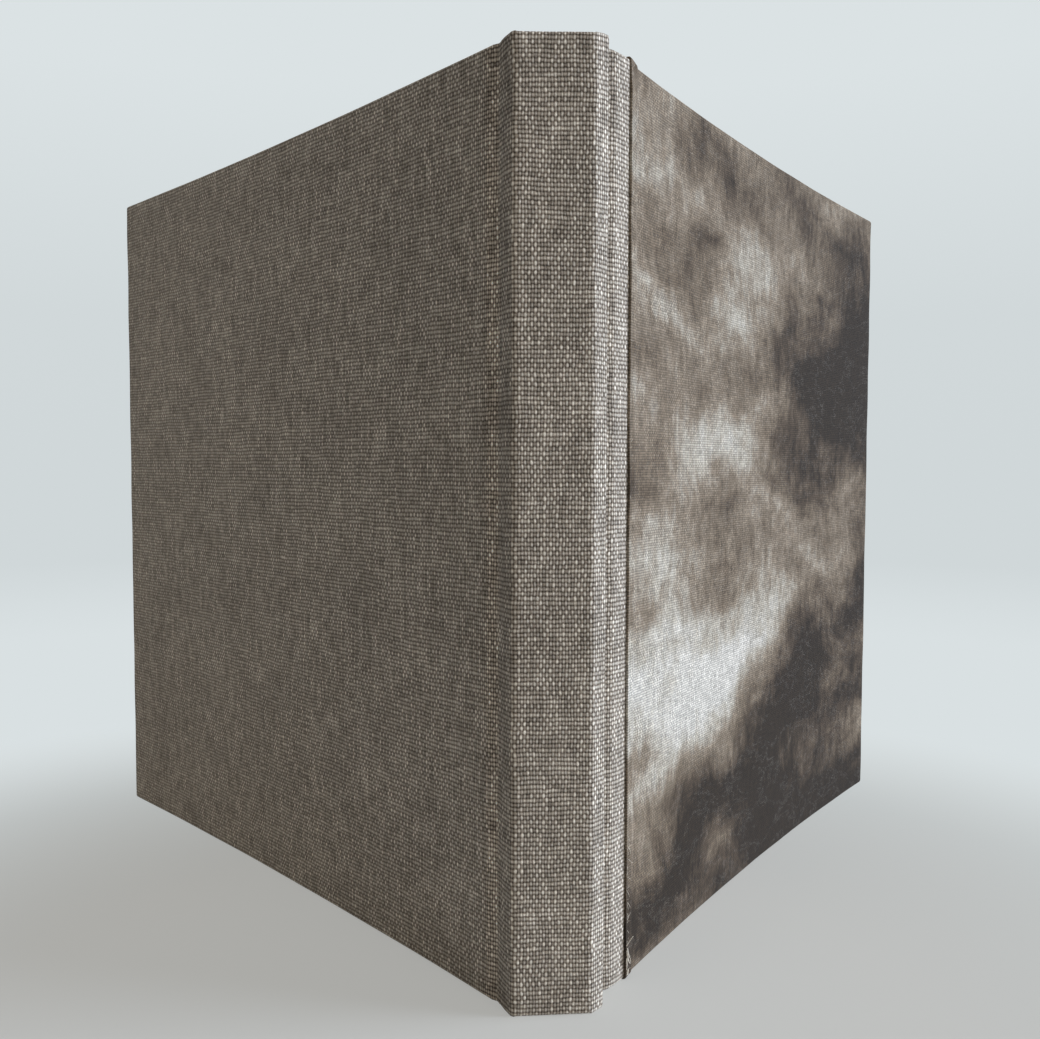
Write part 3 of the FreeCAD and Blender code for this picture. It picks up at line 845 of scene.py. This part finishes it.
def page_edges():
    """Cut edges of cream book paper. Leaves are 0.1 mm thick; they are drawn three times as
    thick, so that they show."""
    material, tree, surface = shader("cream_book_paper", Roughness=0.85)
    place = add(tree, "TexCoord").outputs["Object"]
    sheets = add(tree, "Mapping", {"Vector": place, "Scale": (1, 0.004, 0.004)}).outputs[0]
    leaves = add(tree, "TexNoise", {"Vector": sheets, "Scale": 1.6 / MM, "Detail": 3.0,
                                    "Roughness": 0.7}).outputs["Fac"]
    bundles = add(tree, "TexNoise", {"Vector": sheets, "Scale": 0.45 / MM}).outputs["Fac"]
    both = add(tree, "Math", {0: bundles, 1: 0.5, 2: leaves},
               operation="MULTIPLY_ADD").outputs[0]
    colour = ramp(tree, both, ((0.5, "#A39B89"), (0.65, "#D3CCBB"), (0.8, "#E6E0D1"),
                               (1.0, "#EFEADD")))
    finish(tree, surface, colour, leaves, 0.15 * MM)
    return material


def endpaper():
    """Laid paper: close ribs a millimetre apart, soft fibres and a slightly uneven cream tone."""
    material, tree, surface = shader("cream_laid_paper", Roughness=0.85)
    place = add(tree, "TexCoord").outputs["Object"]
    height = add(tree, "SeparateXYZ", {0: place}).outputs["Z"]
    ribs = add(tree, "Math", {0: height, 1: 2 * math.pi / (1.1 * MM)},
               operation="MULTIPLY").outputs[0]
    ribs = add(tree, "Math", {0: ribs}, operation="SINE").outputs[0]
    fibres = add(tree, "TexNoise", {"Vector": place, "Scale": 1.5 / MM, "Detail": 5.0,
                                    "Roughness": 0.7}).outputs["Fac"]
    cloud = add(tree, "TexNoise", {"Vector": place, "Scale": 0.04 / MM,
                                   "Detail": 4.0}).outputs["Fac"]
    both = add(tree, "Math", {0: fibres, 1: 0.7, 2: cloud}, operation="MULTIPLY_ADD").outputs[0]
    colour = ramp(tree, both, ((0.6, "#D5CEBF"), (0.85, "#DDD7C9"), (1.1, "#E4DED1")))
    relief = add(tree, "Math", {0: ribs, 1: 0.12, 2: fibres}, operation="MULTIPLY_ADD").outputs[0]
    finish(tree, surface, colour, relief, 0.03 * MM)
    return material


def mull():
    """Stiffened open cotton, 10 threads to the centimetre with glue in its holes."""
    material, tree, surface = shader("starched_cotton_mull", Roughness=0.8)
    _, height, _ = plain_weave(tree, 1.0, 1.0, 0.75, 0.3)
    # the colour follows the weave's height: painted shade in the holes, painted highlight on the
    # crowns
    level = add(tree, "MapRange", {"Value": height, "From Min": -0.3, "From Max": 0.6})
    finish(tree, surface, ramp(tree, level.outputs["Result"], (
        (0.0, "#B9AE97"), (0.5, "#CFC7B4"), (1.0, "#E4DDCC"))), height, 0.1 * MM)
    return material


def speckled(name, scale, tones, bump):
    """Board, lining or bead: one material's fibres, seen as fine specks on a soft cloud."""
    material, tree, surface = shader(name, Roughness=0.9)
    place = add(tree, "TexCoord").outputs["Object"]
    specks = add(tree, "TexNoise", {"Vector": place, "Scale": scale, "Detail": 6.0,
                                    "Roughness": 0.75}).outputs["Fac"]
    cloud = add(tree, "TexNoise", {"Vector": place, "Scale": scale / 20,
                                   "Detail": 2.0}).outputs["Fac"]
    both = add(tree, "Math", {0: cloud, 1: 0.3, 2: specks}, operation="MULTIPLY_ADD").outputs[0]
    finish(tree, surface, ramp(tree, both, tones), specks, bump)
    return material


def band_thread():
    """Mercerised cotton wound in two colours, a few turns of each."""
    material, tree, surface = shader("mercerised_cotton_thread", Roughness=0.5,
                                     Sheen_Weight=0.2, Sheen_Roughness=0.4)
    place = add(tree, "TexCoord").outputs["Object"]
    across = add(tree, "SeparateXYZ", {0: place}).outputs["X"]
    groups = add(tree, "Math", {0: across, 1: math.pi / (0.85 * MM)},
                 operation="MULTIPLY").outputs[0]
    groups = add(tree, "Math", {0: groups}, operation="SINE").outputs[0]
    dark = add(tree, "Math", {0: groups, 1: 0.0}, operation="GREATER_THAN").outputs[0]
    fibres = add(tree, "Mapping", {"Vector": place, "Scale": (1, 0.2, 0.2)}).outputs[0]
    fibres = add(tree, "TexNoise", {"Vector": fibres, "Scale": 9 / MM,
                                    "Detail": 2.0}).outputs["Fac"]
    pale = ramp(tree, fibres, ((0.3, "#BDB5A4"), (0.7, "#E3DDCF")))
    brown = ramp(tree, fibres, ((0.3, "#6A5D4E"), (0.7, "#93867A")))
    colour = add(tree, "Mix", {0: dark, 6: pale, 7: brown}, data_type="RGBA").outputs[2]
    finish(tree, surface, colour, fibres, 0.03 * MM)
    return material


# --- the notebook --------------------------------------------------------------------------

def stand_for(piece, node):
    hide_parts(node)


def declare(piece, node, width):
    """Hides the frame's part that a cloth stands for. width, the size that it was cut to, is not
    used.
    """
    stand_for(piece, node)


flax = linen()
spine = make_spine_cloth(flax)
declare(spine, "spine_linen", SPINE_RUN)
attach(spine, "book_block")

for cover, piece, node, board, width in (
        (BACK, make_back_cloth(flax), "back_linen", "back_board", BACK.run_to(BACK.end) + TURN_IN),
        (FRONT, make_linen_strip(flax), "front_linen_strip", "front_board",
         FRONT.run_to(SEAM_S) + LAP)):
    declare(piece, node, width)
    past = cover.line.at(2 * WALL_FOOT, 0)
    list(cover.foot)
    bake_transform(piece)

printed = make_printed_cloth(printed_cotton())
declare(printed, "front_printed_cloth", FRONT.end - SEAM_S + TURN_IN)
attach(printed, "front_cover")

laid, cotton_mull = endpaper(), mull()
for cover in (FRONT, BACK):
    name = cover.body[:-6]
    paper, _ = make_endpaper(cover, laid)
    stand_for(paper, name + "_pastedown")
    flap, width = make_mull_hinge(cover, cotton_mull)
    declare(flap, name + "_mull_flap", width)

winding = band_thread()
for name, edge, up in (("headband", BLOCK[1].z, 1), ("tailband", BLOCK[0].z, -1)):
    band = make_band(name + "_wound", edge, up, winding)
    stand_for(band, name)
    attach(band, "book_block")

fray = make_fray("seam_fray", seam_threads(random.Random("fray")), cotton_thread())
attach(fray, "front_cover")

GREY_BOARD = ((0.4, "#77736A"), (0.65, "#8D897F"), (0.9, "#A5A195"))
KRAFT = ((0.4, "#8F7C62"), (0.65, "#A3907A"), (0.9, "#B5A38C"))
grey = speckled("grey_binders_board", 1.2 / MM, GREY_BOARD, 0.05 * MM)
stiffener = make_spine_board(grey)
stand_for(stiffener, "spine_board")
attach(stiffener, "book_block")
for node, material in (("text_block", page_edges()),
                       ("front_flyleaf", laid), ("back_flyleaf", laid),
                       ("spine_mull", speckled("mull_under_lining", 1 / MM, KRAFT, 0.05 * MM)),
                       ("spine_lining", speckled("kraft_lining", 1.5 / MM, KRAFT, 0.03 * MM)),
                       ("front_board", grey), ("back_board", grey)):
    for place in frame["nodes"][node].material_slots:
        place.material = material


# --- floor, light and camera ---------------------------------------------------------------

def make_floor():
    """A sheet of white paper that sweeps up into the backdrop: its seen colour fades into the
    room's, and part of it still takes the notebook's shadow."""
    bpy.ops.object.select_all(action="DESELECT")
    bpy.ops.mesh.primitive_plane_add(size=6, location=(0, 0, 0))
    floor = bpy.context.object
    floor.name = "paper_floor"
    material, tree, surface = shader("white_paper", Roughness=0.9)
    place = add(tree, "TexCoord").outputs["Object"]
    # the fade is centred 2 cm left of the notebook, so the floor's seen colour stays darker further
    # out on the left: painted shade
    place = add(tree, "Mapping", {"Vector": place, "Location": (0.02, 0, 0)}).outputs[0]
    away = add(tree, "VectorMath", {0: place}, operation="LENGTH").outputs["Value"]
    fade = add(tree, "MapRange", {"Value": away, "From Min": 0.09, "From Max": 0.255},
               interpolation_type="SMOOTHSTEP").outputs["Result"]
    paper = ramp(tree, fade, ((0.0, "#B8B8B5"), (1.0, "#8C8C8A")))
    tree.links.new(paper, surface.inputs["Base Color"])
    tone = ramp(tree, away, ((0.09, "#DADBD8"), (0.17, "#D2D7D7"), (0.26, "#D9E0E2"),
                             (0.5, "#D9E0E2"), (0.8, "#D3DADC"), (1.0, "#D0D7D9")))
    seen = add(tree, "Emission", {"Color": tone}).outputs[0]
    camera = add(tree, "LightPath").outputs["Is Camera Ray"]
    share = add(tree, "MapRange", {"Value": fade, "To Min": 0.46}).outputs["Result"]
    share = add(tree, "Math", {0: camera, 1: share}, operation="MULTIPLY").outputs[0]
    mixed = add(tree, "MixShader", {0: share, 1: surface.outputs[0], 2: seen}).outputs[0]
    tree.links.new(mixed, tree.nodes["Material Output"].inputs["Surface"])
    floor.data.materials.append(material)


def make_light():
    """A pale room, a soft window low on the right and a little light from the left."""
    world = bpy.data.worlds.new("room")
    bpy.context.scene.world = world
    world.use_nodes = True
    tree = world.node_tree
    seen = add(tree, "LightPath").outputs["Is Camera Ray"]
    room = tree.nodes["Background"]
    room.inputs["Color"].default_value = linear("#FFF7EC")
    room.inputs["Strength"].default_value = 0.115
    way = add(tree, "SeparateXYZ", {0: add(tree, "TexCoord").outputs["Generated"]}).outputs["Z"]
    tone = ramp(tree, way, ((0.0, "#D0D7D9"), (0.13, "#D1D8DA"), (0.21, "#D5DCDE"),
                            (0.33, "#DBE2E4")))
    wall = add(tree, "Background", {"Color": tone})
    mixed = add(tree, "MixShader", {0: seen, 1: room.outputs[0], 2: wall.outputs[0]})
    tree.links.new(mixed.outputs[0], tree.nodes["World Output"].inputs["Surface"])
    for name, strength, softness, azimuth, height, colour in (
            ("window", 4.1, 30, -4, 20, "#E4EFFF"), ("room_front", 0.8, 60, -70, 20, "#FFF6EA"),
            ("room_above", 0.55, 60, 0, 89, "#FFFCF8")):
        bpy.ops.object.light_add(type="SUN")
        lamp = bpy.context.object
        lamp.name = name
        lamp.data.energy = strength
        lamp.data.angle = math.radians(softness)
        lamp.data.color = linear(colour)[:3]
        turn, rise = math.radians(azimuth), math.radians(height)
        towards = Vector((math.cos(turn), math.sin(turn), math.tan(rise)))
        lamp.rotation_euler = towards.to_track_quat("Z", "Y").to_euler()
    bpy.ops.object.light_add(type="AREA", location=(-0.30, 0.10, 0.12))
    card = bpy.context.object
    card.name = "pale_card"
    card.data.size = 0.15
    card.data.energy = 0.019
    from_cover = card.location - Vector((-0.12, 0.14, 0.09))
    card.rotation_euler = from_cover.to_track_quat("Z", "Y").to_euler()


def make_camera():
    bpy.ops.object.camera_add(location=(-0.022585, -0.191743, 0.103018))
    camera = bpy.context.object
    camera.data.sensor_width = 36
    camera.data.lens = 36.42
    camera.data.clip_start = 0.01
    turn = (Matrix.Rotation(math.radians(-4.637), 3, "Z")
            @ Matrix.Rotation(math.radians(90 - 3.01), 3, "X")
            @ Matrix.Rotation(math.radians(0.122), 3, "Z"))
    camera.rotation_euler = turn.to_euler()
    bpy.context.scene.camera = camera


make_floor()
make_light()
make_camera()
bpy.context.scene.view_settings.view_transform = "Standard"
